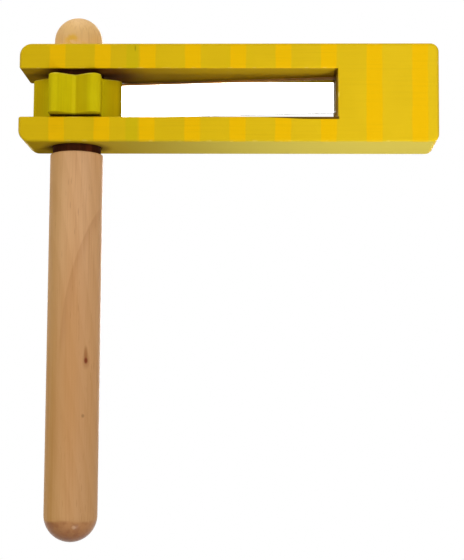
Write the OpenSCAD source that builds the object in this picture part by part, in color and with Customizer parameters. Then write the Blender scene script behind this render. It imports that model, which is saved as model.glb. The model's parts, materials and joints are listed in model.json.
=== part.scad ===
// Wooden cog ratchet: a frame with a springy tongue spins round a cog that is glued on the handle.
// The handle's axis is Z, the frame reaches out along +X and its striped face looks towards -Y.
// The origin is on the axis, at the middle of the grip.

/* [Handle] */
// Diameter of the spindle that carries the cog and the frame
spindle_d = 20; // [16:0.5:26]
// Width of the step from the spindle out to the grip
shoulder_w = 1; // [0.5:0.1:4]
// Rounding of the grip's upper rim
rim_r = 0.8; // [0.2:0.1:1]
// Straight length of the grip, between its round end and its rim
grip_len = 148; // [90:1:200]
// Bare spindle between the grip's rim and the frame
neck_gap = 3.2; // [0.5:0.1:8]
// Straight part of the spindle that stands above the frame
knob_len = 4; // [1:0.5:20]

/* [Frame] */
// Height of each arm
arm_h = 10.5; // [6:0.5:16]
// Height of the slot between the arms
slot_h = 20.2; // [14:0.2:32]
// Wood in front of and behind each spindle bore
bore_wall = 3.7; // [2:0.1:10]
// Wood between each bore and the free end of its arm
end_wall = 12.3; // [6:0.1:24]
// From the spindle's axis to the end wall of the slot
slot_reach = 108.6; // [60:0.2:180]
// Length of the solid end of the frame
block_len = 41.2; // [28:0.2:80]
// Rounding of the corners at the arms' free ends
arm_corner_r = 5; // [1.5:0.1:8]
// Rounding of the corners at the solid end
block_corner_r = 3.5; // [1.5:0.1:8]
// Rounding of the long edges and the end edges
edge_r = 1.2; // [0.4:0.1:3]
// Chamfer along the slot's edges
slot_ease = 0.8; // [0.2:0.1:2]
// Radial play of the spindle in the arms
bore_clear = 0.3; // [0.1:0.05:0.8]

/* [Cog] */
// Number of teeth
teeth = 6; // [5:1:7]
// Wood between the cog's bore and the floor of its grooves
cog_wall = 2.5; // [2:0.1:6]
// Height of a tooth above the grooves
tooth_h = 6; // [4:0.1:7]
// Radius of a tooth's round crest
crest_r = 3; // [2:0.1:3.5]
// Radius of the floor of a groove
groove_r = 1.5; // [0.8:0.1:2.5]
// Turn of the first tooth from the striped face
tooth_turn = 32; // [20:1:40]
// Wood that cutting the teeth takes off the rim of the turned blank
rim_skim = 0.2; // [0.1:0.1:1]
// Rounding of the blank's upper and lower rims
cog_rim_r = 1; // [0.3:0.1:2.5]
// Play between the cog and the lower arm
cog_gap_below = 1.1; // [0.4:0.1:3]
// Play between the cog and the upper arm
cog_gap_above = 2.3; // [0.4:0.1:3]

/* [Tongue] */
// Thickness of the slat
tongue_t = 1.8; // [1:0.1:3]
// Gap between the slat and the upper arm
tongue_gap_above = 0.6; // [0.4:0.1:4]
// Gap between the slat and the lower arm
tongue_gap_below = 4.6; // [0.4:0.1:6]
// Depth of the mortise that holds the slat
mortise_depth = 18; // [8:0.5:24]
// Gap between the slat and the teeth beside it
tip_clear = 0.3; // [0.1:0.05:1]
// Glue line round the slat and in the cog's bore
glue_gap = 0.05; // [0.02:0.01:0.1]

/* [Hidden] */
$fn = 96;

// How far a cutter runs past the face that it opens
past = 1;
// Straight steps in the arc of a crest and of a groove
crest_steps = 18;
groove_steps = 8;

spindle_r = spindle_d / 2;
grip_r = spindle_r + shoulder_w;
rim = min(rim_r, shoulder_w);
grip_top = grip_len / 2;
shoulder_z = grip_top + rim;

// Levels of the frame, from its underside up
frame_z = shoulder_z + neck_gap;
slot_z = frame_z + arm_h;
frame_h = 2 * arm_h + slot_h;
spindle_top = frame_z + frame_h + knob_len;

bore_r = spindle_r + bore_clear;
frame_t = 2 * (bore_r + bore_wall);
frame_left = -(bore_r + end_wall);
frame_right = slot_reach + block_len;
frame_len = frame_right - frame_left;

// The cog's outline: round crests and round grooves, joined by straight flanks.
// A flank is the line that touches the circles of its crest and its groove.
pitch = 360 / teeth;
groove_floor = spindle_r + cog_wall;
cog_r = groove_floor + tooth_h;
crest_at = cog_r - crest_r;
groove_at = groove_floor + groove_r;
crest_to_groove = from_axis(groove_at, pitch / 2) - [crest_at, 0];
// Turn of a flank's normal from the middle of its tooth, and distance of the flank from the axis
flank_turn = turn_of(crest_to_groove) - acos((crest_r + groove_r) / norm(crest_to_groove));
flank_at = crest_at * cos(flank_turn) + crest_r;
cog_z = slot_z + cog_gap_below;
cog_h = slot_h - cog_gap_below - cog_gap_above;
cog_bore_r = spindle_r + glue_gap;
first_tooth = tooth_turn - 90;

// One tooth points along the arms, so the slat leans to the back, where it passes the crests
// that come by half a pitch further on, and its tip ends short of the flank of the next tooth.
tongue_root = [slot_reach, 0];
tip_room = tongue_t / 2 + tip_clear;
to_crest = from_axis(crest_at, first_tooth + 1.5 * pitch) - tongue_root;
tongue_turn = turn_of(to_crest) - asin((crest_r + tip_room) / norm(to_crest));
stop_normal = from_axis(1, first_tooth + 2 * pitch - flank_turn);
tongue_len = (flank_at + tip_room - stop_normal * tongue_root) / (stop_normal * from_axis(1, tongue_turn));
tongue_z = slot_z + tongue_gap_below;
tongue_h = slot_h - tongue_gap_below - tongue_gap_above;

function from_axis(reach, turn) = reach * [cos(turn), sin(turn)];
function turn_of(step) = atan2(step.y, step.x);

// A quarter disc in the first quadrant
module quarter_disc(r) {
    intersection() {
        circle(r);
        square(r);
    }
}

// Half of the handle's lengthwise section, from the round end up to the round top
module handle_section() {
    translate([0, -grip_top])
        mirror([0, 1])
            quarter_disc(grip_r);
    translate([0, -grip_top])
        square([grip_r, grip_len]);
    translate([0, grip_top])
        square([grip_r - rim, rim]);
    translate([grip_r - rim, grip_top])
        quarter_disc(rim);
    translate([0, shoulder_z])
        square([spindle_r, spindle_top - shoulder_z]);
    translate([0, spindle_top])
        quarter_disc(spindle_r);
}

module handle() {
    color([0.80, 0.63, 0.44])
        rotate_extrude()
            handle_section();
}

// Points along an arc, both ends included
function arc(centre, r, from, to, steps) =
    [for (i = [0 : steps]) centre + from_axis(r, from + (to - from) * i / steps)];

// For each tooth an arc over its crest and one round the next groove: the flanks lie between them
module cog_outline() {
    polygon([for (i = [0 : teeth - 1])
        let (tooth = first_tooth + i * pitch, next_tooth = tooth + pitch)
        each concat(
            arc(from_axis(crest_at, tooth), crest_r,
                tooth - flank_turn, tooth + flank_turn, crest_steps),
            arc(from_axis(groove_at, tooth + pitch / 2), groove_r,
                tooth + flank_turn + 180, next_tooth - flank_turn + 180, groove_steps)
        )]);
}

// The turned disc that the teeth are cut from, with round rims
module cog_blank() {
    blank_r = cog_r + rim_skim;
    flat_r = blank_r - cog_rim_r;
    rotate_extrude() {
        square([flat_r, cog_h]);
        translate([0, cog_rim_r])
            square([blank_r, cog_h - 2 * cog_rim_r]);
        translate([flat_r, cog_rim_r])
            mirror([0, 1])
                quarter_disc(cog_rim_r);
        translate([flat_r, cog_h - cog_rim_r])
            quarter_disc(cog_rim_r);
    }
}

module cog() {
    color([0.75, 0.68, 0.05])
        translate([0, 0, cog_z])
            difference() {
                intersection() {
                    linear_extrude(cog_h)
                        cog_outline();
                    cog_blank();
                }
                translate([0, 0, -past])
                    cylinder(r = cog_bore_r, h = cog_h + 2 * past);
            }
}

// A strip from the origin with round corners at its left
module round_end(h, r) {
    translate([0, r])
        square([r, h - 2 * r]);
    for (y = [r, h - r])
        translate([r, y])
            circle(r);
}

// A rectangle from the origin with round corners
module round_rect(w, h, left_r, right_r) {
    translate([left_r, 0])
        square([w - left_r - right_r, h]);
    round_end(h, left_r);
    translate([w, 0])
        mirror([1, 0])
            round_end(h, right_r);
}

// The block before it is slotted: its side, end and top outlines meet in one solid
module frame_block() {
    intersection() {
        translate([frame_left, frame_t / 2, frame_z])
            rotate([90, 0, 0])
                linear_extrude(frame_t)
                    round_rect(frame_len, frame_h, arm_corner_r, block_corner_r);
        translate([frame_left, -frame_t / 2, frame_z])
            rotate([90, 0, 90])
                linear_extrude(frame_len)
                    round_rect(frame_t, frame_h, edge_r, edge_r);
        translate([frame_left, -frame_t / 2, frame_z])
            linear_extrude(frame_h)
                round_rect(frame_len, frame_t, edge_r, edge_r);
    }
}

// The slot's section across the arms, flared by a chamfer at the front and the back
module slot_section(w) {
    half = frame_t / 2 + past;
    flare = slot_ease + past;
    polygon([
        [-half, -flare], [-half + flare, 0], [half - flare, 0], [half, -flare],
        [half, w + flare], [half - flare, w], [-half + flare, w], [-half, w + flare]
    ]);
}

// The slot is open at the arms' free ends and chamfered round its three edges on each face
module slot() {
    run = slot_reach - frame_left + past;
    translate([frame_left - past, 0, slot_z])
        rotate([90, 0, 90])
            linear_extrude(run)
                slot_section(slot_h);
    translate([slot_reach - run, 0, slot_z])
        rotate([0, 0, -90])
            linear_extrude(slot_h)
                slot_section(run);
}

// Puts the slat's own plan, which runs along +X from the end wall to the tip, in its place
module along_tongue() {
    translate([tongue_root.x, tongue_root.y, tongue_z])
        rotate(tongue_turn)
            children();
}

module mortise() {
    w = tongue_t + 2 * glue_gap;
    along_tongue()
        translate([-mortise_depth, -w / 2, -glue_gap])
            cube([mortise_depth + past, w, tongue_h + 2 * glue_gap]);
}

module frame() {
    color([0.80, 0.69, 0.09])
        difference() {
            frame_block();
            slot();
            mortise();
            translate([0, 0, frame_z - past])
                cylinder(r = bore_r, h = frame_h + 2 * past);
        }
}

module tongue() {
    sunk = mortise_depth - glue_gap;
    color([0.90, 0.93, 0.95, 0.4])
        along_tongue()
            linear_extrude(tongue_h) {
                translate([tongue_len, 0])
                    circle(tongue_t / 2);
                translate([-sunk, -tongue_t / 2])
                    square([sunk + tongue_len, tongue_t]);
            }
}

handle();
cog();
frame();
tongue();
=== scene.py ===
# %% [markdown]
# # A wooden cog ratchet
# The instrument is swung by its handle. The striped frame then spins round the spindle, and a clear springy
# slat in the frame snaps over the six teeth of a cog that is glued on the spindle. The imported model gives
# the true size and place of the four pieces. This lesson models each of them again by hand, with the soft
# edges of sanded and painted wood, gives it its finish, and takes its picture.

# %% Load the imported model
import json
from math import acos, atan2, cos, pi, radians, sin

import bmesh
import bpy
from mathutils import Matrix, Vector


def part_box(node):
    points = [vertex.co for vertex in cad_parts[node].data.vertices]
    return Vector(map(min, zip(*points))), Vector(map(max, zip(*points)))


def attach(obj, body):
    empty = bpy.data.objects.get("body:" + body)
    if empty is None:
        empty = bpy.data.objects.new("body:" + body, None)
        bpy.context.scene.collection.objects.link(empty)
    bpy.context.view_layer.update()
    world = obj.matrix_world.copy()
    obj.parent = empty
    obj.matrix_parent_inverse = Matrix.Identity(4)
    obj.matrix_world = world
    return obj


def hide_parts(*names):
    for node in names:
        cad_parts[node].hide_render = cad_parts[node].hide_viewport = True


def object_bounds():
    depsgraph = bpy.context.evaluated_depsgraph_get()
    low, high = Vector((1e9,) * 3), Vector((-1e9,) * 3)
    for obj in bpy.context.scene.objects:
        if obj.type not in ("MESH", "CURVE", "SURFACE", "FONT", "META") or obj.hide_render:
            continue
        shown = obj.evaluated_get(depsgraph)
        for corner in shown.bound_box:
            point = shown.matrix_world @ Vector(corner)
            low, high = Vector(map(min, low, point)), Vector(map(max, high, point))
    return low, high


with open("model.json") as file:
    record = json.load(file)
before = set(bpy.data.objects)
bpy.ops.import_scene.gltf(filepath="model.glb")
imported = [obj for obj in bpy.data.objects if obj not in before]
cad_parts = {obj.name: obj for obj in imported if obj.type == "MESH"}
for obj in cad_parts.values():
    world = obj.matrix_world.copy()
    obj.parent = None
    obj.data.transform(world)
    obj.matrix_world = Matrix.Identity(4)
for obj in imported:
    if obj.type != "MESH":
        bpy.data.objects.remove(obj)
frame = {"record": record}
cad_low, cad_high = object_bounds()
print("CAD box, mm:", [round(1000 * side, 1) for side in cad_high - cad_low])

# %% [markdown]
# The camera stands well back and a little below the frame, so the undersides of both arms show and the
# handle runs a little out of plumb. A long lens could be guessed by eye, but here the place, the angles and
# the focal length were worked out from the outlines of the real object in its picture, 464 by 560 pixels.

# %% Camera
PICTURE_H = 560
FOCAL_PX = 1498.3
EYE = (0.0852, -0.6163, -0.0398)
PAN, TILT, ROLL = -0.0322, 0.1010, 0.0071

bpy.ops.object.camera_add()
camera = bpy.context.object
camera.matrix_world = (
    Matrix.Translation(EYE)
    @ Matrix.Rotation(-PAN, 4, "Z")
    @ Matrix.Rotation(pi / 2 + TILT, 4, "X")
    @ Matrix.Rotation(ROLL, 4, "Z")
)
camera.data.lens = FOCAL_PX / PICTURE_H * camera.data.sensor_width
bpy.context.scene.camera = camera
print("lens, mm:", round(camera.data.lens, 1))

# %% [markdown]
# The room is white paper all round. It could be built of white cards, but each card would need its own even
# light. A sky has no joins: rays that come straight from the camera, or by way of gloss or clear plastic,
# see it pure white, and all other rays see it nearly dark, which leaves the lighting to the lamps.

# %% Sky
SKY_LIGHT = 0.05
WHITE = (1, 1, 1, 1)

scene = bpy.context.scene
scene.view_settings.view_transform = "Standard"


def seen_white(tree):
    """A mask that is 1 for camera, glossy and transmission rays."""
    path = tree.nodes.new("ShaderNodeLightPath")
    mask = path.outputs["Is Camera Ray"]
    for kind in ("Is Glossy Ray", "Is Transmission Ray"):
        either = tree.nodes.new("ShaderNodeMath")
        either.operation = "MAXIMUM"
        tree.links.new(mask, either.inputs[0])
        tree.links.new(path.outputs[kind], either.inputs[1])
        mask = either.outputs[0]
    return mask


world = bpy.data.worlds.new("white_room")
world.use_nodes = True
scene.world = world
sky = world.node_tree
background = sky.nodes["Background"]
background.inputs["Color"].default_value = WHITE
sky_strength = sky.nodes.new("ShaderNodeMapRange")
sky_strength.inputs["To Min"].default_value = SKY_LIGHT
sky.links.new(seen_white(sky), sky_strength.inputs["Value"])
sky.links.new(sky_strength.outputs["Result"], background.inputs["Strength"])
print("sky light:", SKY_LIGHT)

# %% [markdown]
# The floor is a big sheet of the same paper, far below, because a hand or a clamp holds the instrument by
# its grip. It could be left out, but it sends light back up to the undersides. A glow that only the camera
# and reflections see brings it up to white far off, so that no horizon shows, and to a little less near the
# object, where it takes the soft shadow.

# %% Floor
FLOOR_DROP = 0.75
FLOOR_SIZE = 12.0
PAPER_TONE = (0.8, 0.8, 0.8, 1)
PAPER_ROUGHNESS = 0.9
NEAR_GLOW, FAR_GLOW = 0.84, 1.0
NEAR, FAR = 0.5, 2.5

bpy.ops.mesh.primitive_plane_add(size=FLOOR_SIZE, location=(0, 0, cad_low.z - FLOOR_DROP))
floor = bpy.context.object
floor.name = "floor"
paper = bpy.data.materials.new("white_paper")
paper.use_nodes = True
paper_tree = paper.node_tree
paper_skin = paper_tree.nodes["Principled BSDF"]
paper_skin.inputs["Base Color"].default_value = PAPER_TONE
paper_skin.inputs["Roughness"].default_value = PAPER_ROUGHNESS
paper_skin.inputs["Emission Color"].default_value = WHITE
on_paper = paper_tree.nodes.new("ShaderNodeTexCoord")
from_object = paper_tree.nodes.new("ShaderNodeVectorMath")
from_object.operation = "LENGTH"
paper_tree.links.new(on_paper.outputs["Object"], from_object.inputs[0])
glow = paper_tree.nodes.new("ShaderNodeMapRange")
paper_tree.links.new(from_object.outputs["Value"], glow.inputs["Value"])
glow.inputs["From Min"].default_value = NEAR
glow.inputs["From Max"].default_value = FAR
glow.inputs["To Min"].default_value = NEAR_GLOW
glow.inputs["To Max"].default_value = FAR_GLOW
seen_glow = paper_tree.nodes.new("ShaderNodeMath")
seen_glow.operation = "MULTIPLY"
paper_tree.links.new(seen_white(paper_tree), seen_glow.inputs[0])
paper_tree.links.new(glow.outputs["Result"], seen_glow.inputs[1])
paper_tree.links.new(seen_glow.outputs[0], paper_skin.inputs["Emission Strength"])
floor.data.materials.append(paper)
print("floor at, mm:", round(1000 * floor.location.z, 1))

# %% [markdown]
# The sky could give all the light, but the real picture is brightest at the frame's solid end and dark
# inside the slot. So big soft lamps stand round the object: a near one in front and to the right, one in
# front and to the left, and weaker ones above and behind. Two small lamps with narrow beams shine up from
# below. The steeper one only reaches the frame's underside. The other one lights a band inside the slot, up
# to the shadow line that the lower arm throws on the upper one.

# %% Lamps
AIM = Vector((0.05, 0.0, 0.06))
LOW_AIM = Vector((0.14, 0.0, 0.09))
# name, place, size in metres, power in watts, width of the beam in degrees, aim
LAMPS = (
    ("key_lamp", (0.60, -0.60, 0.15), 0.5, 3.6, 180, AIM),
    ("fill_lamp", (-1.00, -0.80, 0.30), 0.8, 8.6, 180, AIM),
    ("top_lamp", (0.05, -0.05, 0.95), 0.6, 4.0, 180, AIM),
    ("back_lamp", (0.05, 0.95, 0.25), 0.6, 0.85, 40, AIM),
    ("slot_lamp", (0.28, -0.34, -0.56), 0.10, 0.12, 45, LOW_AIM),
    ("under_lamp", (0.12, -0.03, -0.20), 0.12, 0.038, 50, LOW_AIM),
)


def soft_lamp(name, place, size, power, beam, aim):
    """A square area lamp that the camera doesn't see."""
    bpy.ops.object.light_add(type="AREA", location=place)
    lamp = bpy.context.object
    lamp.name = name
    lamp.visible_camera = False
    lamp.data.size = size
    lamp.data.energy = power
    lamp.data.spread = radians(beam)
    lamp.rotation_euler = (aim - Vector(place)).to_track_quat("-Z", "Y").to_euler()


for lamp in LAMPS:
    soft_lamp(*lamp)
print("lamps:", [lamp[0] for lamp in LAMPS])

# %% [markdown]
# The pieces could be lists of points, but they are modelled in edit mode, in the steps that a maker would
# take. A few helpers keep those steps short: one picks elements by a test, as a click would, one starts a
# piece as a single point, and two draw from it like a ruler and a compass. Spin turns clockwise about its
# axis, so the compass turns its angle round to count anticlockwise.

# %% Tools for modelling by hand
SEED_SIZE = 0.001
SAME_PLACE = 1e-6
NO_LENGTH = 1e-7


def pick(kind, test):
    """Selects the VERTs, EDGEs or FACEs in edit mode that test accepts, and gives their number."""
    bpy.ops.mesh.select_mode(type=kind)
    bpy.ops.mesh.select_all(action="DESELECT")
    mesh = bpy.context.edit_object.data
    cage = bmesh.from_edit_mesh(mesh)
    items = {"VERT": cage.verts, "EDGE": cage.edges, "FACE": cage.faces}[kind]
    chosen = [item for item in items if test(item)]
    for item in chosen:
        item.select_set(True)
    bmesh.update_edit_mesh(mesh)
    return len(chosen)


def start_point(name, place):
    """A new piece of one selected vertex, in edit mode."""
    bpy.ops.object.select_all(action="DESELECT")
    bpy.ops.mesh.primitive_plane_add(size=SEED_SIZE, location=place)
    piece = bpy.context.object
    piece.name = name
    bpy.ops.object.transform_apply()
    bpy.ops.object.mode_set(mode="EDIT")
    bpy.ops.mesh.select_mode(type="VERT")
    bpy.ops.mesh.select_all(action="SELECT")
    bpy.ops.mesh.merge(type="CENTER")
    return piece


def draw_line(step):
    bpy.ops.mesh.extrude_region_move(TRANSFORM_OT_translate={"value": step})


def draw_arc(centre, axis, angle, steps):
    bpy.ops.mesh.spin(steps=steps, angle=-angle, center=centre, axis=axis)


def close_up():
    """Merges doubled vertices and turns all faces outwards."""
    bpy.ops.mesh.select_all(action="SELECT")
    bpy.ops.mesh.remove_doubles(threshold=SAME_PLACE)
    bpy.ops.mesh.dissolve_degenerate(threshold=NO_LENGTH)
    bpy.ops.mesh.normals_make_consistent(inside=False)


def leave_smooth(piece, sharp_from):
    """Back to object mode, with smooth shading below that angle in degrees, and flat faces kept flat."""
    bpy.ops.object.mode_set(mode="OBJECT")
    bpy.ops.object.shade_smooth_by_angle(angle=radians(sharp_from))
    even = piece.modifiers.new("even", "WEIGHTED_NORMAL")
    even.keep_sharp = True
    bpy.ops.object.modifier_apply(modifier=even.name)
    print(piece.name, "has", len(piece.data.polygons), "faces, box in mm:",
          [round(1000 * side, 1) for side in piece.dimensions])


print("tools for modelling are ready")

# %% [markdown]
# The handle is one beech rod that was turned on a lathe. A cylinder with rounded ends would do, but its
# step to the thinner spindle and its round rim come out cleaner the way the turner cuts them: half of the
# outline is drawn from the foot to the top, and the outline is then spun once round the axis.

# %% Handle
SPINDLE_R = 0.010
RIM_H = 0.0008
RIM_R = 0.0004
ROUND_STEPS = 24
RIM_STEPS = 6
LATHE_STEPS = 128
SHARP_FROM = 40
FRONTWARDS = (0, -1, 0)
UPWARDS = (0, 0, 1)

grip_size = frame["record"]["mounts"][0]["dims"]
grip_r = grip_size["r_mm"] / 1000
grip_top = grip_size["length_mm"] / 2000
handle_low, handle_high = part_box("handle")
shoulder_z = grip_top + RIM_H
spindle_top = handle_high.z - SPINDLE_R

handle = start_point("turned_handle", (0, 0, -grip_top - grip_r))
draw_arc((0, 0, -grip_top), FRONTWARDS, pi / 2, ROUND_STEPS)
draw_line((0, 0, shoulder_z - RIM_R + grip_top))
draw_arc((grip_r - RIM_R, 0, shoulder_z - RIM_R), FRONTWARDS, pi / 2, RIM_STEPS)
draw_line((SPINDLE_R - grip_r + RIM_R, 0, 0))
draw_line((0, 0, spindle_top - shoulder_z))
draw_arc((0, 0, spindle_top), FRONTWARDS, pi / 2, ROUND_STEPS)
bpy.ops.mesh.select_all(action="SELECT")
draw_arc((0, 0, 0), UPWARDS, 2 * pi, LATHE_STEPS)
close_up()
leave_smooth(handle, SHARP_FROM)

# %% [markdown]
# The cog is a thick wooden disc with six teeth. Its outline has round crests, narrow round grooves and
# straight flanks that touch both. The teeth could be cut out one by one, but one pitch that is drawn with
# ruler and compass, from the floor of one groove to the floor of the next, is copied round the axis
# instead.

# %% Outline of the cog
TEETH = 6
FIRST_TOOTH = radians(-58)
COG_R = 0.0185
GROOVE_FLOOR = 0.0125
CREST_R = 0.003
GROOVE_R = 0.0015
CREST_STEPS = 24
FLANK_STEPS = 4
GROOVE_STEPS = 6

cog_low, cog_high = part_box("cog")
pitch = 2 * pi / TEETH
crest_at = COG_R - CREST_R
groove_at = GROOVE_FLOOR + GROOVE_R


def on_cog(reach, turn):
    """A point on the cog's lower face, at that distance from the axis and that angle."""
    return Vector((reach * cos(turn), reach * sin(turn), cog_low.z))


to_groove = on_cog(groove_at, pitch / 2) - on_cog(crest_at, 0)
flank_turn = atan2(to_groove.y, to_groove.x) - acos((CREST_R + GROOVE_R) / to_groove.length)
groove_turn = flank_turn - pitch / 2


def climb(side):
    """The way up the first tooth's flank on that side, from its groove's circle to its crest's."""
    normal = on_cog(1, FIRST_TOOTH + side * flank_turn) - on_cog(0, 0)
    foot = on_cog(groove_at, FIRST_TOOTH + side * pitch / 2) - GROOVE_R * normal
    return on_cog(crest_at, FIRST_TOOTH) + CREST_R * normal - foot


def draw_flank(step):
    for _ in range(FLANK_STEPS):
        draw_line(step / FLANK_STEPS)


cog = start_point("toothed_cog", on_cog(GROOVE_FLOOR, FIRST_TOOTH - pitch / 2))
draw_arc(on_cog(groove_at, FIRST_TOOTH - pitch / 2), UPWARDS, -groove_turn, GROOVE_STEPS)
draw_flank(climb(-1))
draw_arc(on_cog(crest_at, FIRST_TOOTH), UPWARDS, 2 * flank_turn, CREST_STEPS)
draw_flank(-climb(1))
draw_arc(on_cog(groove_at, FIRST_TOOTH + pitch / 2), UPWARDS, -groove_turn, GROOVE_STEPS)
bpy.ops.mesh.select_all(action="SELECT")
bpy.ops.mesh.spin(steps=TEETH - 1, dupli=True, angle=2 * pi - pitch, center=(0, 0, 0), axis=UPWARDS)
bpy.ops.mesh.select_all(action="SELECT")
bpy.ops.mesh.remove_doubles(threshold=SAME_PLACE)
print("points in the cog's outline:", len(bmesh.from_edit_mesh(cog.data).verts))

# %% [markdown]
# The outline is now a closed loop. It could be filled in and drilled, but a ring has cleaner faces: the
# loop is extruded on the spot and drawn in to the bore, and the ring between the two loops, the lower face,
# is then extruded to the cog's height. The sanded rims are bevels.

# %% Body of the cog
COG_BORE_R = 0.01005
COG_RIM, COG_RIM_STEPS = 0.0007, 4
BORE_RIM, BORE_RIM_STEPS = 0.0003, 2
FOLD = radians(60)
PAST_BORE = 1.1


def reach(point):
    """Distance of a point from the handle's axis."""
    return Vector((point.x, point.y)).length


bpy.ops.mesh.extrude_region_move()
bpy.ops.transform.tosphere(value=1)
ring_r = max(reach(v.co) for v in bmesh.from_edit_mesh(cog.data).verts if v.select)
shrink = COG_BORE_R / ring_r
bpy.ops.transform.resize(value=(shrink, shrink, 1), center_override=(0, 0, cog_low.z))
bpy.ops.mesh.select_all(action="SELECT")
bpy.ops.mesh.extrude_region_move(TRANSFORM_OT_translate={"value": (0, 0, cog_high.z - cog_low.z)})
close_up()


def on_rim(edge, outside):
    """True for an edge of the upper or lower outline, or of the bore."""
    if len(edge.link_faces) != 2 or edge.calc_face_angle() < FOLD:
        return False
    return outside == all(reach(v.co) > PAST_BORE * COG_BORE_R for v in edge.verts)


pick("EDGE", lambda edge: on_rim(edge, True))
bpy.ops.mesh.bevel(offset=COG_RIM, segments=COG_RIM_STEPS, affect="EDGES")
pick("EDGE", lambda edge: on_rim(edge, False))
bpy.ops.mesh.bevel(offset=BORE_RIM, segments=BORE_RIM_STEPS, affect="EDGES")
close_up()
leave_smooth(cog, SHARP_FROM)

# %% [markdown]
# The frame is one block of wood, sawn out to two arms and a solid end. Two arms and a block could be
# joined, but the real one shows no joints, so a single box is marked by bisecting it at the slot's levels
# and at its end wall. The marked faces are deleted, and the open edges in front and behind are bridged to
# line the slot. The end wall leans, as if the saw had drifted, with its back edge a little further in.

# %% Frame, the sawn block
ARM_H = 0.0105
SLOT_REACH = 0.1086
WALL_LEAN = 0.0009
CLOSE = 1e-5

frame_low, frame_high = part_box("frame")
frame_size = frame_high - frame_low
frame_middle = (frame_low + frame_high) / 2
slot_low = frame_low.z + ARM_H
slot_high = frame_high.z - ARM_H
half_t = frame_size.y / 2

bpy.ops.object.select_all(action="DESELECT")
bpy.ops.mesh.primitive_cube_add(size=1, location=frame_middle, scale=frame_size)
rattle_frame = bpy.context.object
rattle_frame.name = "striped_frame"
bpy.ops.object.transform_apply()
bpy.ops.object.mode_set(mode="EDIT")
for place, normal in (
    ((0, 0, slot_low), (0, 0, 1)),
    ((0, 0, slot_high), (0, 0, 1)),
    ((SLOT_REACH, 0, 0), (1, 0, 0)),
):
    bpy.ops.mesh.select_all(action="SELECT")
    bpy.ops.mesh.bisect(plane_co=place, plane_no=normal)


def near(a, b):
    return abs(a - b) < CLOSE


def in_slot(point):
    return slot_low < point.z < slot_high and point.x < SLOT_REACH


def on_slot_edge(edge):
    """True for the open edges along the slot, in front and behind."""
    middle = (edge.verts[0].co + edge.verts[1].co) / 2
    return edge.is_boundary and near(abs(middle.y), half_t)


def behind_end_wall(vertex):
    """True for the two corners of the slot's end wall at the back."""
    point = vertex.co
    at_slot = near(point.z, slot_low) or near(point.z, slot_high)
    return at_slot and near(point.x, SLOT_REACH) and near(point.y, half_t)


pick("FACE", lambda face: in_slot(face.calc_center_median()))
bpy.ops.mesh.delete(type="FACE")
pick("EDGE", on_slot_edge)
bpy.ops.mesh.bridge_edge_loops()
close_up()
moved = pick("VERT", behind_end_wall)
bpy.ops.transform.translate(value=(-WALL_LEAN, 0, 0))
print("corners of the end wall moved in:", moved)
print("sawn block:", len(bmesh.from_edit_mesh(rattle_frame.data).faces), "faces")

# %% [markdown]
# The four corners of the broad faces are rounded like a coin's edge. They could wait for the small edges,
# but those have to follow them, so they come first. Each arm has a bore that runs freely on the spindle.
# The bores could be part of the outline, but a Boolean modifier goes through both arms at once, as the
# drill did.

# %% Frame, corners and holes
ARM_CORNER_R = 0.005
BLOCK_CORNER_R = 0.0035
CORNER_STEPS = 10
BORE_R = 0.0103
PAST = 0.005


def on_corner(edge, end):
    """True for the edges through the block at the two corners of that end."""
    return near(edge.calc_length(), frame_size.y) and all(
        near(v.co.x, end) and (near(v.co.z, frame_low.z) or near(v.co.z, frame_high.z))
        for v in edge.verts)


for end, radius in ((frame_low.x, ARM_CORNER_R), (frame_high.x, BLOCK_CORNER_R)):
    found = pick("EDGE", lambda edge: on_corner(edge, end))
    bpy.ops.mesh.bevel(offset=radius, segments=CORNER_STEPS, affect="EDGES")
    print("round corners:", found)
bpy.ops.object.mode_set(mode="OBJECT")


def cut_with_tool(piece):
    """Takes the active object out of piece, and throws the cutter away."""
    tool = bpy.context.object
    cut = piece.modifiers.new("cut", "BOOLEAN")
    cut.operation = "DIFFERENCE"
    cut.object = tool
    bpy.context.view_layer.objects.active = piece
    bpy.ops.object.modifier_apply(modifier=cut.name)
    bpy.data.objects.remove(tool)


bpy.ops.mesh.primitive_cylinder_add(
    vertices=LATHE_STEPS, radius=BORE_R, depth=frame_size.z + PAST,
    location=(0, 0, frame_middle.z))
cut_with_tool(rattle_frame)
print("drilled frame:", len(rattle_frame.data.polygons), "faces")

# %% [markdown]
# The slat leans: it starts in the middle of the slot's end wall and runs to the back of the cog. The wall
# could stay shut round it, but clear plastic shows what lies behind, so the mortise is cut. The slat's box
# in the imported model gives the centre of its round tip, and so its line. The mortise is a box along that
# line.

# %% Frame, mortise
SLAT_T = 0.0018
MORTISE_DEPTH = 0.018
GLUE_LINE = 0.00005

slat_low, slat_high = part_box("tongue")
root = Vector((SLOT_REACH, 0))
tip = Vector((slat_low.x + SLAT_T / 2, slat_high.y - SLAT_T / 2))
slat_run = (tip - root).length
along_slat = (tip - root).normalized()
slat_turn = atan2(along_slat.y, along_slat.x)


def slat_box(start, end, thickness, low, high):
    """A box along the slat's line, as the active object; start and end count from the slot's end wall."""
    middle = root + along_slat * (start + end) / 2
    bpy.ops.object.select_all(action="DESELECT")
    bpy.ops.mesh.primitive_cube_add(
        size=1, location=(middle.x, middle.y, (low + high) / 2), rotation=(0, 0, slat_turn),
        scale=(end - start, thickness, high - low))
    bpy.ops.object.transform_apply()


slat_box(-MORTISE_DEPTH, PAST, SLAT_T + 2 * GLUE_LINE, slat_low.z - GLUE_LINE, slat_high.z + GLUE_LINE)
cut_with_tool(rattle_frame)
print("slat runs", round(1000 * slat_run, 1), "mm to its tip")

# %% [markdown]
# Sandpaper has taken the edges off: most on the outside, less along the slot, hardly at all in the bores.
# Bevelled one kind after the other, they would leave creases where they meet. So each kind gets its own
# bevel weight, and one Bevel modifier rounds them all.

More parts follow.
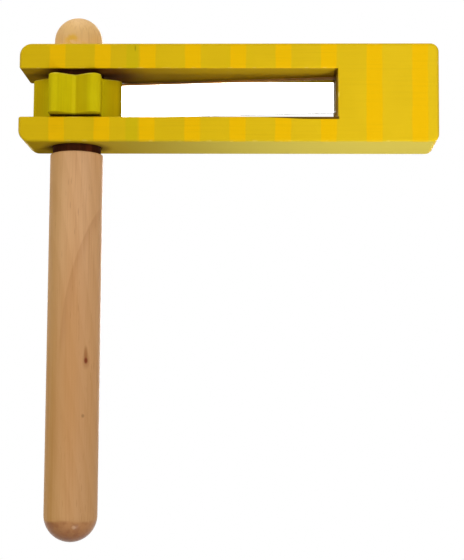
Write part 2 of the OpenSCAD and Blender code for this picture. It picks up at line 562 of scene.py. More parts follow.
# %% Frame, eased edges
EDGE_R, EDGE_STEPS = 0.0012, 4
OUTER_EASE, SLOT_EASE, BORE_EASE = 1.0, 0.6, 0.4
SANDED_FROM = radians(30)
BY_BORE = 1.02

bpy.ops.object.select_all(action="DESELECT")
rattle_frame.select_set(True)
bpy.context.view_layer.objects.active = rattle_frame
bpy.ops.object.mode_set(mode="EDIT")


def edge_kind(edge):
    """outer, slot or bore for an edge that sandpaper reaches, and none for the rest."""
    if len(edge.link_faces) != 2 or edge.calc_face_angle() < SANDED_FROM or not edge.is_convex:
        return "none"
    middle = (edge.verts[0].co + edge.verts[1].co) / 2
    if all(reach(v.co) < BY_BORE * BORE_R for v in edge.verts):
        return "bore"
    if abs(middle.x - SLOT_REACH) < WALL_LEAN and abs(middle.y) < SLAT_T:
        return "none"
    on_slot = all(slot_low - CLOSE < v.co.z < slot_high + CLOSE for v in edge.verts)
    return "slot" if on_slot and middle.x < SLOT_REACH + CLOSE else "outer"


for kind, weight in (("outer", OUTER_EASE), ("slot", SLOT_EASE), ("bore", BORE_EASE)):
    found = pick("EDGE", lambda edge: edge_kind(edge) == kind)
    bpy.ops.transform.edge_bevelweight(value=weight)
    print(kind, "edges:", found)
bpy.ops.object.mode_set(mode="OBJECT")
ease = rattle_frame.modifiers.new("ease", "BEVEL")
ease.width = EDGE_R
ease.segments = EDGE_STEPS
ease.limit_method = "WEIGHT"
bpy.ops.object.modifier_apply(modifier=ease.name)
leave_smooth(rattle_frame, SHARP_FROM)

# %% [markdown]
# The tongue is a thin slat of clear plastic, glued in the mortise. Its free end is rounded to a half circle
# so that it slides over the teeth. Its outline could be drawn and extruded, but a box does once its tip and
# its cut edges are bevelled. The tip's two bevels stop just short of meeting, which would double their
# points.

# %% Tongue
SLAT_EASE, SLAT_EASE_STEPS = 0.00012, 2
NEARLY_HALF, TIP_STEPS = 0.499, 10
SLAT_SHARP_FROM = 25

slat_end = slat_run + SLAT_T / 2
slat_box(GLUE_LINE - MORTISE_DEPTH, slat_end, SLAT_T, slat_low.z, slat_high.z)
slat = bpy.context.object
slat.name = "clear_tongue"
bpy.ops.object.mode_set(mode="EDIT")


def on_tip(edge):
    """True for the two upright edges at the slat's free end."""
    upright = near(edge.calc_length(), slat_high.z - slat_low.z)
    return upright and all(near((v.co.xy - root).dot(along_slat), slat_end) for v in edge.verts)


pick("EDGE", on_tip)
bpy.ops.mesh.bevel(offset=NEARLY_HALF * SLAT_T, segments=TIP_STEPS, affect="EDGES")
pick("EDGE", lambda edge: len(edge.link_faces) == 2 and edge.calc_face_angle() > FOLD)
bpy.ops.mesh.bevel(offset=SLAT_EASE, segments=SLAT_EASE_STEPS, affect="EDGES")
close_up()
leave_smooth(slat, SLAT_SHARP_FROM)

# %% [markdown]
# The finishes are built from shader nodes. They could be set up node by node, but these helpers add one
# node each and give back the socket that comes out, so that a finish reads like a recipe. Colours are
# written as they look on a screen, from 0 to 255.

# %% Tools for the finishes
SPOT_CORE = 0.3


def shade(red, green, blue):
    """A screen colour as the linear colour that a socket takes."""
    parts = [part / 255 for part in (red, green, blue)]
    linear = [p / 12.92 if p <= 0.04045 else ((p + 0.055) / 1.055) ** 2.4 for p in parts]
    return (*linear, 1)


def plug(tree, value, socket):
    """Links a socket, or sets a plain value."""
    if isinstance(value, bpy.types.NodeSocket):
        tree.links.new(value, socket)
    else:
        socket.default_value = value


def calc(tree, operation, *values):
    made = tree.nodes.new("ShaderNodeMath")
    made.operation = operation
    for value, socket in zip(values, made.inputs):
        plug(tree, value, socket)
    return made.outputs[0]


def both(tree, first, *others):
    """The product of masks: 1 only where all of them are."""
    for other in others:
        first = calc(tree, "MULTIPLY", first, other)
    return first


def vector_calc(tree, operation, *values):
    made = tree.nodes.new("ShaderNodeVectorMath")
    made.operation = operation
    for value, socket in zip(values, made.inputs):
        plug(tree, value, socket)
    return made.outputs["Value" if operation == "LENGTH" else "Vector"]


def split(tree, vector):
    """The X, Y and Z sockets of a vector."""
    made = tree.nodes.new("ShaderNodeSeparateXYZ")
    plug(tree, vector, made.inputs[0])
    return made.outputs


def rise(tree, value, start, end):
    """0 at start and 1 at end, with a soft bend at both; start may be the larger."""
    made = tree.nodes.new("ShaderNodeMapRange")
    made.interpolation_type = "SMOOTHSTEP"
    plug(tree, value, made.inputs["Value"])
    plug(tree, start, made.inputs["From Min"])
    plug(tree, end, made.inputs["From Max"])
    return made.outputs[0]


def band(tree, value, start, end, blur):
    """1 between start and end, and 0 beyond them, with blurred ends."""
    from_start = rise(tree, value, start - blur, start + blur)
    return both(tree, from_start, rise(tree, value, end + blur, end - blur))


def spot(tree, place, middle, size):
    """1 in the middle of an egg-shaped spot, and 0 from its rim on."""
    off = vector_calc(tree, "DIVIDE", vector_calc(tree, "SUBTRACT", place, middle), size)
    return rise(tree, vector_calc(tree, "LENGTH", off), 1.0, SPOT_CORE)


def noise(tree, vector, scale, detail=2.0, stretch=(1, 1, 1)):
    """Soft noise from 0 to 1 with that many features to the metre, along stretched axes."""
    spread = tree.nodes.new("ShaderNodeMapping")
    plug(tree, vector, spread.inputs["Vector"])
    spread.inputs["Scale"].default_value = stretch
    made = tree.nodes.new("ShaderNodeTexNoise")
    tree.links.new(spread.outputs[0], made.inputs["Vector"])
    plug(tree, scale, made.inputs["Scale"])
    made.inputs["Detail"].default_value = detail
    return made.outputs[0]


def lay(tree, below, above, mask, strength=1.0):
    """The colour above laid over the colour below where the mask says, at most that strongly."""
    made = tree.nodes.new("ShaderNodeMix")
    made.data_type = "RGBA"
    tree.links.new(calc(tree, "MULTIPLY", mask, strength), made.inputs[0])
    plug(tree, below, made.inputs[6])
    plug(tree, above, made.inputs[7])
    return made.outputs[2]


def bump(tree, height, depth, normal_to):
    """Feeds a Bump node of that depth in metres into the shader's Normal."""
    made = tree.nodes.new("ShaderNodeBump")
    made.inputs["Distance"].default_value = depth
    tree.links.new(height, made.inputs["Height"])
    tree.links.new(made.outputs[0], normal_to)


print("tools for the finishes are ready")

# %% [markdown]
# A finish is a material on the Object coordinates, so it stays on the wood when a piece turns. What several
# finishes share could be copied from one to the next, but a node group is made once and placed in each of
# them with its own values.

# %% Materials and groups
def new_finish(name):
    """A material, with its tree, its Principled BSDF and the Object coordinates."""
    made = bpy.data.materials.new(name)
    made.use_nodes = True
    tree = made.node_tree
    place = tree.nodes.new("ShaderNodeTexCoord").outputs["Object"]
    return made, tree, tree.nodes["Principled BSDF"], place


def new_group(name, inputs, outputs):
    """A shader node group; inputs and outputs map names to Float or Vector."""
    made = bpy.data.node_groups.new(name, "ShaderNodeTree")
    for socket, kind in inputs.items():
        made.interface.new_socket(socket, in_out="INPUT", socket_type="NodeSocket" + kind)
    for socket, kind in outputs.items():
        made.interface.new_socket(socket, in_out="OUTPUT", socket_type="NodeSocket" + kind)
    return made, made.nodes.new("NodeGroupInput").outputs, made.nodes.new("NodeGroupOutput").inputs


def use_group(tree, group, **values):
    """Places a group in a material with its own values, and gives its outputs."""
    made = tree.nodes.new("ShaderNodeGroup")
    made.node_tree = group
    for name, value in values.items():
        plug(tree, value, made.inputs[name.replace("_", " ").capitalize()])
    return made.outputs


print("materials so far:", [made.name for made in bpy.data.materials])

# %% [markdown]
# All the wood here is beech, bare on the handle and under paint on the cog and the frame, so its grain is a
# shared group. Wood could be an image, but three simple patterns say more: growth rings that lean a little
# off the grain, fine fibres drawn out along it, and the short dark flecks that tell beech from other pale
# woods.

# %% Group for beech grain, which runs along Z
ALONG = (1, 1, 0.03)
FIBRE_SCALE = 1400
FLECK_STRETCH = (1, 1, 0.14)
FLECK_SCALE = 900
WANDER = 0.006
RING_TURN = 0.45

grain, grain_in, grain_out = new_group(
    "beech_grain",
    {"Place": "Vector", "Ring gap": "Float", "Lean": "Float"},
    {"Rings": "Float", "Fibres": "Float", "Flecks": "Float"})
grain_x, grain_y, grain_z = split(grain, grain_in["Place"])
wander = calc(grain, "MULTIPLY", noise(grain, grain_in["Place"], 30, 2, (1, 1, 0.35)), WANDER)
leaning = calc(grain, "MULTIPLY_ADD", grain_z, grain_in["Lean"], wander)
across = calc(grain, "MULTIPLY_ADD", grain_y, RING_TURN, grain_x)
ring_at = calc(grain, "DIVIDE", calc(grain, "ADD", across, leaning), grain_in["Ring gap"])
ring_step = calc(grain, "FRACT", ring_at)
late_wood = rise(grain, ring_step, 0.15, 0.85)
ring_end = rise(grain, ring_step, 1.0, 0.9)
grain.links.new(both(grain, late_wood, ring_end), grain_out["Rings"])
grain.links.new(noise(grain, grain_in["Place"], FIBRE_SCALE, 4, ALONG), grain_out["Fibres"])
cells = grain.nodes.new("ShaderNodeTexVoronoi")
stretched = vector_calc(grain, "MULTIPLY", grain_in["Place"], FLECK_STRETCH)
grain.links.new(stretched, cells.inputs["Vector"])
cells.inputs["Scale"].default_value = FLECK_SCALE
fleck = rise(grain, cells.outputs["Distance"], 0.28, 0.12)
rare = rise(grain, noise(grain, grain_in["Place"], 260, 1, (1, 1, 0.3)), 0.48, 0.62)
grain.links.new(both(grain, fleck, rare), grain_out["Flecks"])
print("group:", grain.name)

# %% [markdown]
# Paint on a wooden toy is never quite even: it lies thicker in some places, and its skin is a little wavy.
# The patches could be placed one by one, but two noises do, a broad one for tone and a fine one for the
# skin. Both painted pieces share them.

# %% Group for the paint film
SKIN_SCALE = 900

film, film_in, film_out = new_group(
    "paint_film", {"Place": "Vector", "Patch": "Float"}, {"Tone": "Float", "Skin": "Float"})
patches = noise(film, film_in["Place"], calc(film, "DIVIDE", 1, film_in["Patch"]), 4)
film.links.new(rise(film, patches, 0.25, 0.75), film_out["Tone"])
film.links.new(noise(film, film_in["Place"], SKIN_SCALE, 3), film_out["Skin"])
print("group:", film.name)

# %% [markdown]
# Hands and knocks rub paint off the edges first. The mask for that needs the distance to the nearest edge.
# On a box that is the middle one of the three distances to its faces, so plain arithmetic on the
# coordinates finds it, with no need to look at neighbouring faces, and noise breaks the rubbed line up.

# %% Group for rubbed edges of a box
rub, rub_in, rub_out = new_group(
    "rubbed_edges",
    {"Place": "Vector", "Middle": "Vector", "Half size": "Vector", "Width": "Float"},
    {"Mask": "Float", "Distance": "Float"})
from_middle = vector_calc(rub, "ABSOLUTE", vector_calc(rub, "SUBTRACT", rub_in["Place"], rub_in["Middle"]))
to_face = vector_calc(rub, "ABSOLUTE", vector_calc(rub, "SUBTRACT", rub_in["Half size"], from_middle))
face_x, face_y, face_z = split(rub, to_face)
nearer = calc(rub, "MINIMUM", face_x, face_y)
farther = calc(rub, "MAXIMUM", face_x, face_y)
edge_gap = calc(rub, "MAXIMUM", nearer, calc(rub, "MINIMUM", farther, face_z))
ragged = rise(rub, noise(rub, rub_in["Place"], 320, 4), 0.45, 0.75)
rub_width = calc(rub, "MULTIPLY", rub_in["Width"], ragged)
rub.links.new(rise(rub, edge_gap, rub_width, calc(rub, "MULTIPLY", rub_width, 0.5)), rub_out["Mask"])
rub.links.new(edge_gap, rub_out["Distance"])
print("group:", rub.name)

# %% [markdown]
# The handle is bare beech, sanded and waxed. A picture of wood wrapped round it would show a seam, so its
# colour is laid on in thin layers: pale and mellow wood change over in rings, in broad patches and in fine
# fibres. Hands have turned the grip warmer towards its foot, with streaks up its lower left side. Down the
# middle of its front it is painted a little browner, as painted shade that evens out its light across it.

# %% Beech finish, the wood
LEFT_STREAKS = (-0.002, -0.009)
LOWER_PART = (0.02, -0.04)
WARMER_DOWN = (0.050, -0.040)
WARMER_LEFT = (0.001, -0.008)
MIDDLE_SHADE_ACROSS = (0.009, 0.003)
MIDDLE_SHADE_FROM, MIDDLE_SHADE_TO, MIDDLE_SHADE_BLUR = -0.055, 0.025, 0.02

beech, tree, wood, place = new_finish("waxed_beech")
x, y, z = split(tree, place)
fibre = use_group(tree, grain, place=place, ring_gap=0.0052, lean=0.22)
pale, mellow, brown = shade(219, 170, 121), shade(203, 151, 100), shade(168, 110, 62)
colour = lay(tree, pale, mellow, fibre["Rings"], 0.3)
patch = rise(tree, noise(tree, place, 45, 2, (1, 1, 0.3)), 0.3, 0.7)
colour = lay(tree, colour, mellow, patch, 0.4)
streaks = rise(tree, fibre["Fibres"], 0.45, 0.75)
colour = lay(tree, colour, brown, streaks, 0.22)
colour = lay(tree, colour, shade(150, 98, 58), fibre["Flecks"], 0.25)
lower_left = both(tree, rise(tree, x, *LEFT_STREAKS), rise(tree, z, *LOWER_PART))
long_streaks = rise(tree, noise(tree, place, 420, 2, (1, 1, 0.02)), 0.4, 0.65)
colour = lay(tree, colour, shade(170, 104, 48), both(tree, lower_left, long_streaks), 0.55)
colour = lay(tree, colour, shade(196, 140, 78), rise(tree, z, *WARMER_DOWN), 0.4)
colour = lay(tree, colour, shade(214, 162, 76), rise(tree, x, *WARMER_LEFT), 0.35)
# Painted shade: the middle of the grip's front is darker, so it looks as evenly lit as its sides.
middle_across = rise(tree, calc(tree, "ABSOLUTE", x), *MIDDLE_SHADE_ACROSS)
middle_shade = both(tree, middle_across, band(tree, z, MIDDLE_SHADE_FROM, MIDDLE_SHADE_TO, MIDDLE_SHADE_BLUR))
colour = lay(tree, colour, shade(196, 138, 80), middle_shade, 0.3)
print("wood of", beech.name)

# %% [markdown]
# On the front of the grip sits a small dark knot with a halo and a thin line above it, and a faint one
# below. Noise could make knots, but not in their places, so each is an egg-shaped spot. One growth ring
# crosses the grip as a long slanting line. It is drawn as a curve: its side to the right is darker, and
# fades away.

# %% Beech finish, the knots and the ring
KNOT = (0.0064, -0.0089, -0.0114)
FAINT_KNOT = (0.0056, -0.0095, -0.0338)
KNOT_LINE = (0.0063, -0.0090, -0.0086)
RING_START, RING_SLOPE, RING_BEND = -0.00403, 0.0626, 4.19
RING_EDGE, RING_FADE = 0.0004, 0.0045
RING_FROM, RING_TO, RING_BLUR = -0.005, 0.052, 0.006
FRONT_HALF = (0.0, -0.004)

# Colour, middle, half size and strength of each mark
for tone, middle, half_size, strength in (
    (brown, KNOT, (0.0019, 0.005, 0.0045), 0.5),
    (shade(148, 82, 26), KNOT_LINE, (0.0010, 0.005, 0.0042), 0.55),
    (shade(122, 44, 0), KNOT, (0.0010, 0.005, 0.0018), 0.95),
    (shade(116, 70, 34), FAINT_KNOT, (0.0008, 0.005, 0.0010), 0.4),
):
    colour = lay(tree, colour, tone, spot(tree, place, middle, half_size), strength)
slope = calc(tree, "MULTIPLY_ADD", z, RING_BEND, RING_SLOPE)
ring_x = calc(tree, "MULTIPLY_ADD", z, slope, RING_START)
past_ring = calc(tree, "SUBTRACT", x, ring_x)
from_ring = rise(tree, past_ring, -RING_EDGE, RING_EDGE)
ring_side = both(tree, from_ring, rise(tree, past_ring, RING_FADE, 0.0))
on_front = both(tree, rise(tree, y, *FRONT_HALF), band(tree, z, RING_FROM, RING_TO, RING_BLUR))
colour = lay(tree, colour, brown, both(tree, ring_side, on_front), 0.25)
print("marks on", beech.name)

# %% [markdown]
# Where the end grain begins the foot drinks in more wax and dirt, so it is darker from a clear line on,
# mottled and a little shiny. Below that line it also gets darker towards the bottom, its left side is
# painted darker as painted shade, and a pale spot in front is a painted highlight. The spindle is painted
# dark as painted shade where the frame and the cog hide it, and that shade shows in the gaps between them.
# The top end, which hands don't reach, stays palest, partly as painted light from above, and the frame has
# rubbed a little of its yellow paint off on it, with painted bounce light from the frame just above its
# top. Each of these could be a material of its own, but masks along the axis let the same grain run
# through all of them.

# %% Beech finish, the ends
FOOT_Z = -0.0760
FOOT_HIGHLIGHT = (0.0027, -0.0097, -0.0785)
NECK_Z = 0.0750
TOP_Z = 0.1190
SMUDGE = (-0.0018, -0.0098, 0.1220)
SMUDGE_SIZE = (0.0042, 0.006, 0.0032)
FOOT_HIGHLIGHT_SIZE = (0.0011, 0.003, 0.0011)
FOOT_SHADE_LEFT = (0.002, -0.011)
SOAK_WANDER = 0.0016
WOOD_SHEEN = 0.15
FIBRE_DEPTH = 0.00006

soaked_to = calc(tree, "MULTIPLY_ADD", noise(tree, place, 160, 3), SOAK_WANDER, z)
foot = rise(tree, soaked_to, FOOT_Z + 0.0013, FOOT_Z - 0.0003)
colour = lay(tree, colour, shade(190, 131, 83), foot, 0.7)
# Darker towards the bottom of the foot.
colour = lay(tree, colour, shade(150, 90, 47), rise(tree, z, FOOT_Z - 0.001, handle_low.z), 0.8)
# Painted shade: the foot's left side is darker.
colour = lay(tree, colour, shade(124, 66, 24), both(tree, foot, rise(tree, x, *FOOT_SHADE_LEFT)), 0.5)
mottled = both(tree, foot, rise(tree, noise(tree, place, 380, 4), 0.42, 0.66))
colour = lay(tree, colour, shade(142, 76, 46), mottled, 0.32)
# Painted highlight: a pale spot on the front of the foot.
colour = lay(tree, colour, shade(226, 178, 134), spot(tree, place, FOOT_HIGHLIGHT, FOOT_HIGHLIGHT_SIZE), 0.6)
# Painted shade: the spindle is dark where the frame and the cog hide it, and in the gaps between them.
shaded_spindle = band(tree, z, NECK_Z, TOP_Z, 0.0002)
colour = lay(tree, colour, shade(56, 20, 0), shaded_spindle)
red_patches = rise(tree, noise(tree, place, 330, 2, (1, 1, 0.2)), 0.5, 0.7)
colour = lay(tree, colour, shade(96, 40, 12), both(tree, shaded_spindle, red_patches), 0.6)
# The top end is paler wood that hands don't reach, and partly painted light from above.
top_end = rise(tree, z, TOP_Z - 0.0005, TOP_Z + 0.0005)
colour = lay(tree, colour, shade(239, 194, 126), top_end, 0.85)
colour = lay(tree, colour, shade(196, 140, 88), both(tree, top_end, streaks), 0.28)
smear = rise(tree, noise(tree, place, 420, 3), 0.42, 0.58)
smudge = both(tree, spot(tree, place, SMUDGE, SMUDGE_SIZE), smear)
colour = lay(tree, colour, shade(232, 178, 44), smudge, 0.8)
# Yellow just above the frame: paint rubbed off on the spindle, and partly painted bounce light from the
# frame.
rub_and_bounce = both(tree, top_end, rise(tree, z, TOP_Z + 0.0028, TOP_Z + 0.0005), smear)
colour = lay(tree, colour, shade(226, 178, 56), rub_and_bounce, 0.6)
tree.links.new(colour, wood.inputs["Base Color"])
waxed = calc(tree, "MULTIPLY_ADD", streaks, 0.12, 0.45)
polished = calc(tree, "MULTIPLY_ADD", foot, -0.16, waxed)
tree.links.new(calc(tree, "MULTIPLY_ADD", shaded_spindle, 0.45, polished), wood.inputs["Roughness"])
wood.inputs["Specular IOR Level"].default_value = WOOD_SHEEN
bump(tree, fibre["Fibres"], FIBRE_DEPTH, wood.inputs["Normal"])
handle.data.materials.append(beech)
print("finish:", beech.name)

# %% [markdown]
# The frame's ground coat is olive yellow with the wood's fibres showing through. One flat colour would look
# like plastic, so the tone changes in patches, and one band across both arms came out greener. Along the
# frame the coat is painted a little lighter and warmer towards the solid end, as painted light. The
# underside is painted paler and whiter towards the solid end, as a painted sheen.

# %% Frame paint, the ground coat
GREEN_FROM, GREEN_TO, GREEN_BLUR = 0.0217, 0.0266, 0.0006
UNDERSIDE_SHEEN_END = 0.080

frame_paint, tree, coat, place = new_finish("striped_paint")
x, y, z = split(tree, place)
turned = tree.nodes.new("ShaderNodeMapping")
turned.inputs["Rotation"].default_value = (0, pi / 2, 0)
tree.links.new(place, turned.inputs["Vector"])
under = use_group(tree, grain, place=turned.outputs[0], ring_gap=0.006, lean=0.05)
paint = use_group(tree, film, place=place, patch=0.02)
painted_light_along = rise(tree, x, frame_low.x, frame_high.x)
# Painted light: the coat gets a little lighter and warmer towards the solid end.
colour = lay(tree, shade(222, 185, 15), shade(230, 192, 25), painted_light_along)
colour = lay(tree, colour, shade(206, 172, 14), paint["Tone"], 0.25)
colour = lay(tree, colour, shade(196, 184, 12), band(tree, x, GREEN_FROM, GREEN_TO, GREEN_BLUR), 0.4)
underside = rise(tree, z, frame_low.z + 0.0005, frame_low.z + 0.0001)
# Painted sheen: the underside is painted paler and whiter towards the solid end.
underside_sheen = lay(tree, shade(186, 152, 8), shade(208, 190, 84), rise(tree, x, frame_low.x, UNDERSIDE_SHEEN_END))
colour = lay(tree, colour, underside_sheen, underside, 0.9)
print("ground coat of", frame_paint.name)

# %% [markdown]
# Nine warm yellow stripes cross both broad faces. They could be painted boxes, but a repeating distance to
# the nearest stripe's centre line draws them all, and a little noise makes their edges hand painted.

# %% Frame paint, the stripes
STRIPE_FIRST = -0.00673
STRIPE_PITCH = 0.01860
STRIPE_W = 0.0065
STRIPE_BLUR = 0.0004
STRIPE_WOBBLE = 0.0004

wobble = calc(tree, "MULTIPLY_ADD", noise(tree, place, 180, 2), 2 * STRIPE_WOBBLE, -STRIPE_WOBBLE)
stripe_at = calc(tree, "ADD", calc(tree, "SUBTRACT", x, STRIPE_FIRST), wobble)
nearest = calc(tree, "PINGPONG", stripe_at, STRIPE_PITCH / 2)
broad_face = rise(tree, calc(tree, "ABSOLUTE", y), half_t - 0.0009, half_t - 0.0003)
stripe = rise(tree, nearest, STRIPE_W / 2 + STRIPE_BLUR, STRIPE_W / 2 - STRIPE_BLUR)
colour = lay(tree, colour, shade(240, 189, 4), both(tree, stripe, broad_face))
fibre_lines = rise(tree, under["Fibres"], 0.45, 0.8)
colour = lay(tree, colour, shade(188, 150, 10), fibre_lines, 0.12)
print("stripes every", round(1000 * STRIPE_PITCH, 1), "mm")

# %% [markdown]
# Inside the slot the paint lies on rough sawn wood. There it is painted browner as painted shade, most of
# all on the end wall and round the cog, and darker towards the cog. A ring of painted shade also lies round
# the bore on the underside, where the neck meets it. Both places are dull, while the rest is satin from
# handling. A second material on those faces would end at a hard line, so masks that blend are used.

# %% Frame paint, inside the slot
SATIN, DULL = 0.42, 0.95
PAINT_SHEEN = 0.04
SLOT_SHADE_RUN = (0.060, 0.010)
COG_SHADE_REACH = (0.034, 0.016)
COG_SHADE_LEFT = (-0.016, -0.006)
NECK_SHADE_R = 0.0160


def from_axis(tree, place):
    """The distance from the handle's axis."""
    return vector_calc(tree, "LENGTH", vector_calc(tree, "MULTIPLY", place, (1, 1, 0)))


slot_middle_z = (slot_low + slot_high) / 2
slot_half_z = (slot_high - slot_low) / 2
level = calc(tree, "ABSOLUTE", calc(tree, "SUBTRACT", z, slot_middle_z))
between_arms = rise(tree, level, slot_half_z + 0.0006, slot_half_z)
behind_face = rise(tree, calc(tree, "ABSOLUTE", y), half_t - 0.0002, half_t - 0.0012)
left_of_end = rise(tree, x, SLOT_REACH + 0.0008, SLOT_REACH + 0.0002)
inside = both(tree, between_arms, behind_face, left_of_end)
# Painted shade: the slot's inner faces are browner, and darker still towards the cog.
colour = lay(tree, colour, shade(190, 155, 5), inside, 0.85)
colour = lay(tree, colour, shade(140, 100, 8), both(tree, inside, rise(tree, x, *SLOT_SHADE_RUN)), 0.5)
# Painted shade on the slot's end wall.
end_wall_shade = both(tree, inside, rise(tree, x, SLOT_REACH - 0.0016, SLOT_REACH - 0.0010))
colour = lay(tree, colour, shade(104, 70, 4), end_wall_shade, 0.75)
axis_gap = from_axis(tree, place)
# Painted shade inside the slot round the cog.
cog_shade = both(tree, inside, rise(tree, axis_gap, *COG_SHADE_REACH), rise(tree, x, *COG_SHADE_LEFT))
colour = lay(tree, colour, shade(86, 40, 2), cog_shade, 0.9)
# Painted shade in a ring round the bore on the underside, by the neck.
neck_shade = both(tree, underside, rise(tree, axis_gap, NECK_SHADE_R, BORE_R))
colour = lay(tree, colour, shade(86, 40, 2), neck_shade, 0.6)
satin = calc(tree, "MULTIPLY_ADD", paint["Tone"], 0.12, SATIN)
gloss = tree.nodes.new("ShaderNodeMapRange")
plug(tree, calc(tree, "MAXIMUM", inside, underside), gloss.inputs["Value"])
plug(tree, satin, gloss.inputs["To Min"])
plug(tree, DULL, gloss.inputs["To Max"])
tree.links.new(gloss.outputs[0], coat.inputs["Roughness"])
coat.inputs["Specular IOR Level"].default_value = PAINT_SHEEN
print("slot from", round(1000 * slot_low, 1), "to", round(1000 * slot_high, 1), "mm")

# %% [markdown]
# Wear: the paint is rubbed pale in short ticks on the outer edges and on the slot's edges. It could be
# brushed on, but the shared group finds every edge of the block and of the slot. Along the outer edges the
# paint is also darker olive. A pale chip is out of the slot's end, a dark nick is in the upper arm, and a
# painted shadow, a dark line that thins towards the cog, lies on the slot's lower lip.

# %% Frame paint, the wear
CHIP, CHIP_SIZE = (0.1086, -0.0140, 0.0977), (0.0009, 0.0012, 0.0017)
NICK, NICK_SIZE = (0.0253, -0.0140, 0.1170), (0.0004, 0.002, 0.0017)
OUTER_RUB, SLOT_RUB = 0.0012, 0.0009
SLOT_FROM = -1.0
LIP_SHADE_RUN = (0.068, 0.100)
LIP_SHADE_H, LIP_SHADE_BLUR = 0.0011, 0.0001
SKIN_DEPTH = 0.00005

slot_middle = Vector(((SLOT_FROM + SLOT_REACH) / 2, 0, slot_middle_z))
slot_half = Vector(((SLOT_REACH - SLOT_FROM) / 2, half_t, slot_half_z))
outer = use_group(tree, rub, place=place, middle=frame_middle, half_size=frame_size / 2, width=OUTER_RUB)
inner = use_group(tree, rub, place=place, middle=slot_middle, half_size=slot_half, width=SLOT_RUB)
bare = shade(234, 208, 96)
# Darker olive along the outer edges.
colour = lay(tree, colour, shade(186, 160, 22), rise(tree, outer["Distance"], 0.0014, 0.0002), 0.45)
colour = lay(tree, colour, bare, outer["Mask"], 0.28)
slot_edge = both(tree, inner["Mask"], broad_face, between_arms, left_of_end)
colour = lay(tree, colour, bare, slot_edge, 0.4)
colour = lay(tree, colour, bare, spot(tree, place, CHIP, CHIP_SIZE), 0.9)
colour = lay(tree, colour, shade(104, 98, 12), spot(tree, place, NICK, NICK_SIZE), 0.5)
# Painted shadow: a dark line on the slot's lower lip, thinning towards the cog.
depth = calc(tree, "SUBTRACT", slot_low, z)
lip_shade_depth = calc(tree, "MULTIPLY", rise(tree, x, *LIP_SHADE_RUN), LIP_SHADE_H)
lip_shade = rise(tree, calc(tree, "SUBTRACT", lip_shade_depth, depth), -LIP_SHADE_BLUR, LIP_SHADE_BLUR)
near_front = rise(tree, y, 0.0014 - half_t, 0.0010 - half_t)
on_lip = both(tree, near_front, rise(tree, z, slot_low + 0.0004, slot_low))
colour = lay(tree, colour, shade(70, 44, 6), both(tree, lip_shade, on_lip, left_of_end), 0.9)
tree.links.new(colour, coat.inputs["Base Color"])
bump(tree, calc(tree, "ADD", paint["Skin"], under["Fibres"]), SKIN_DEPTH, coat.inputs["Normal"])
rattle_frame.data.materials.append(frame_paint)
print("finish:", frame_paint.name)

# %% [markdown]
# The cog has the greenest coat. Its teeth at the sides are painted a little lighter and warmer, as painted
# light. The slat and the upper arm have rubbed its crests paler. A painted highlight runs along the line of
# its front groove and its upper rim, and painted shade lies on its lower rim, on the flank beside that
# groove and along its right-hand edge. Every tooth could be marked alike, but the teeth that show differ,
# so each mark has a mask of its own.

# %% Cog paint
SIDE_TEETH_LIT = (0.0095, 0.0165)
CREST_RUB = 0.0012
FRONT_GROOVE = (-0.008, -0.010)
SHADED_FLANK_FROM, SHADED_FLANK_TO, SHADED_FLANK_BLUR = 0.0010, 0.0058, 0.0007
GROOVE_HIGHLIGHT_HALF, GROOVE_HIGHLIGHT_BLUR = 0.0007, 0.0004
RIGHT_EDGE_SHADE = (0.0168, 0.0182)
COG_DULL = 0.75

cog_paint, tree, coat, place = new_finish("olive_paint")
x, y, z = split(tree, place)
under = use_group(tree, grain, place=place, ring_gap=0.004, lean=0.1)
paint = use_group(tree, film, place=place, patch=0.009)
colour = lay(tree, shade(212, 194, 6), shade(194, 170, 4), paint["Tone"], 0.4)
fibre_lines = rise(tree, under["Fibres"], 0.45, 0.8)
colour = lay(tree, colour, shade(170, 150, 4), fibre_lines, 0.25)
# Painted light: the side teeth are lighter and warmer.
lit_side_teeth = rise(tree, calc(tree, "ABSOLUTE", x), *SIDE_TEETH_LIT)
colour = lay(tree, colour, shade(232, 180, 4), lit_side_teeth, 0.35)
crest = rise(tree, from_axis(tree, place), COG_R - CREST_RUB, COG_R)
colour = lay(tree, colour, shade(224, 204, 16), crest, 0.3)
in_front = rise(tree, y, *FRONT_GROOVE)
# Painted shade on the front tooth's flank beside the groove.
shaded_flank = both(tree, in_front, band(tree, x, SHADED_FLANK_FROM, SHADED_FLANK_TO, SHADED_FLANK_BLUR))
colour = lay(tree, colour, shade(176, 144, 2), shaded_flank, 0.35)
# Painted highlight along the front groove.
groove_highlight = both(tree, in_front, band(tree, x, -GROOVE_HIGHLIGHT_HALF, GROOVE_HIGHLIGHT_HALF, GROOVE_HIGHLIGHT_BLUR))
colour = lay(tree, colour, shade(228, 208, 24), groove_highlight, 0.4)
# Painted shade along the cog's right-hand edge.
colour = lay(tree, colour, shade(96, 72, 4), rise(tree, x, *RIGHT_EDGE_SHADE), 0.5)
# Painted highlight, broken up, along the upper rim.
upper_rim = rise(tree, z, cog_high.z - 0.0008, cog_high.z - 0.0002)
highlight_breakup = rise(tree, noise(tree, place, 500, 3), 0.35, 0.60)
colour = lay(tree, colour, shade(226, 208, 84), both(tree, upper_rim, highlight_breakup), 0.6)
# Painted shade on the lower rim.
lower_rim = rise(tree, z, cog_low.z + 0.0009, cog_low.z + 0.0003)
colour = lay(tree, colour, shade(120, 98, 4), lower_rim, 0.6)
tree.links.new(colour, coat.inputs["Base Color"])
tree.links.new(calc(tree, "MULTIPLY_ADD", paint["Tone"], 0.15, COG_DULL), coat.inputs["Roughness"])
coat.inputs["Specular IOR Level"].default_value = PAINT_SHEEN
bump(tree, calc(tree, "ADD", paint["Skin"], under["Fibres"]), SKIN_DEPTH, coat.inputs["Normal"])
cog.data.materials.append(cog_paint)
print("finish:", cog_paint.name)

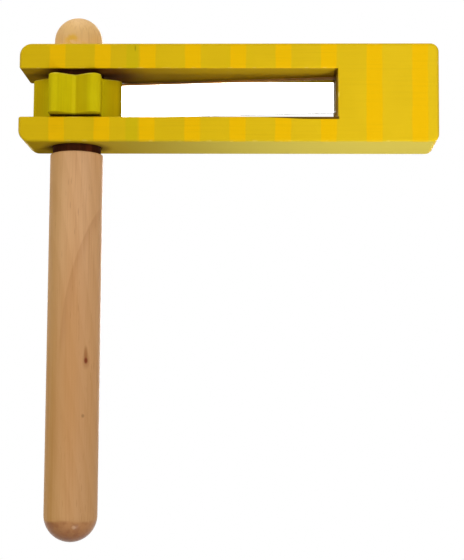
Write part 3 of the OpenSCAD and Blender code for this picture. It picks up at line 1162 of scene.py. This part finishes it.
# %% [markdown]
# The slat is polished clear plastic, so nearly all that shows of it is its edges. Those were sawn and only
# rubbed down, so they are frosted, and a dark band of painted shade lies along the upper one, paler towards
# the end wall. The teeth have left fine scuffs on its faces. Alpha could make it see-through, but only
# transmission bends the light as plastic does.

# %% Clear plastic
PLASTIC_IOR = 1.49
CLEAR_TINT = (0.97, 0.98, 0.98, 1)
PAINTED_SHADE_H, PAINTED_SHADE_BLUR = 0.0010, 0.0001
PAINTED_SHADE_PALER = (0.045, 0.075)
POLISH, SCUFF, FROST = 0.02, 0.05, 0.30

clear, tree, plastic, place = new_finish("clear_plastic")
x, _, z = split(tree, place)
plastic.inputs["IOR"].default_value = PLASTIC_IOR
plastic.inputs["Transmission Weight"].default_value = 1.0
scuffs = rise(tree, noise(tree, place, 500, 3, (0.15, 1, 1)), 0.5, 0.8)
polish = calc(tree, "MULTIPLY_ADD", scuffs, SCUFF, POLISH)
# Painted shade: a dark band along the slat's upper edge, paler towards the end wall.
painted_shade_low = slat_high.z - PAINTED_SHADE_H
painted_shade_band = rise(tree, z, painted_shade_low - PAINTED_SHADE_BLUR, painted_shade_low + PAINTED_SHADE_BLUR)
painted_shade_tint = lay(tree, shade(40, 23, 6), shade(106, 66, 18), rise(tree, x, *PAINTED_SHADE_PALER))
tint = lay(tree, CLEAR_TINT, painted_shade_tint, painted_shade_band)
tree.links.new(tint, plastic.inputs["Base Color"])
frosted = calc(tree, "MAXIMUM", painted_shade_band, rise(tree, z, slat_low.z + 0.0003, slat_low.z + 0.0001))
tree.links.new(calc(tree, "MULTIPLY_ADD", frosted, FROST, polish), plastic.inputs["Roughness"])
slat.data.materials.append(clear)
print("finish:", clear.name)

# %% [markdown]
# Each modelled piece now stands for its CAD node, and rides on the body that carries it: the cog turns with
# the handle it is glued on, and the slat swings with the frame. The pieces could stay where they were
# modelled, but then no pose would move them.

# %% Ride on the bodies
for piece, node, body, slot in (
    (handle, "handle", "handle_and_cog", "beech"),
    (cog, "cog", "handle_and_cog", "cog_paint"),
    (rattle_frame, "frame", "frame_and_tongue", "frame_paint"),
    (slat, "tongue", "frame_and_tongue", "clear_slat"),
):
    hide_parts(node)
    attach(piece, body)
    print(piece.name, "stands for", node, "on", body)
